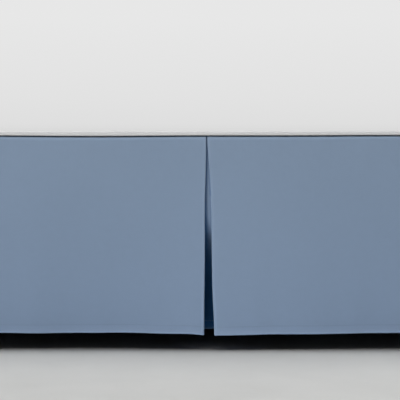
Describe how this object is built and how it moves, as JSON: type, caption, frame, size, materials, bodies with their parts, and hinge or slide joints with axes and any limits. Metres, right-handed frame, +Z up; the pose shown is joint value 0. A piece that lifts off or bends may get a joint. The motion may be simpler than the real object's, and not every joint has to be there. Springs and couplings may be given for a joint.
{
  "type": "bed skirt on bed base",
  "caption": "Tailored cloth bed skirt with straight drops, each with an inverted box pleat at its middle, laid over a plain bed base on legs.",
  "frame": {"origin": "centre of the whole object's footprint, on the floor", "axes": "+Z up, -Y towards the foot of the bed (the side in the picture), +Y towards the open head, +X to the right as the foot is faced"},
  "size_m": [1.5512, 2.0406, 0.389],
  "materials": {
    "skirt_cloth": "smooth matt plain weave, slate blue",
    "deck_cloth": "plain white platform cloth",
    "base_cover": "plain woven upholstery",
    "leg_wood": "satin"
  },
  "bodies": {
    "root": {"deck": "deck_cloth", "foot_drop": "skirt_cloth", "left_drop": "skirt_cloth", "right_drop": "skirt_cloth", "bed_base": "base_cover", "leg_foot_left": "leg_wood", "leg_foot_right": "leg_wood", "leg_middle_left": "leg_wood", "leg_middle_right": "leg_wood", "leg_head_left": "leg_wood", "leg_head_right": "leg_wood"}
  },
  "joints": []
}
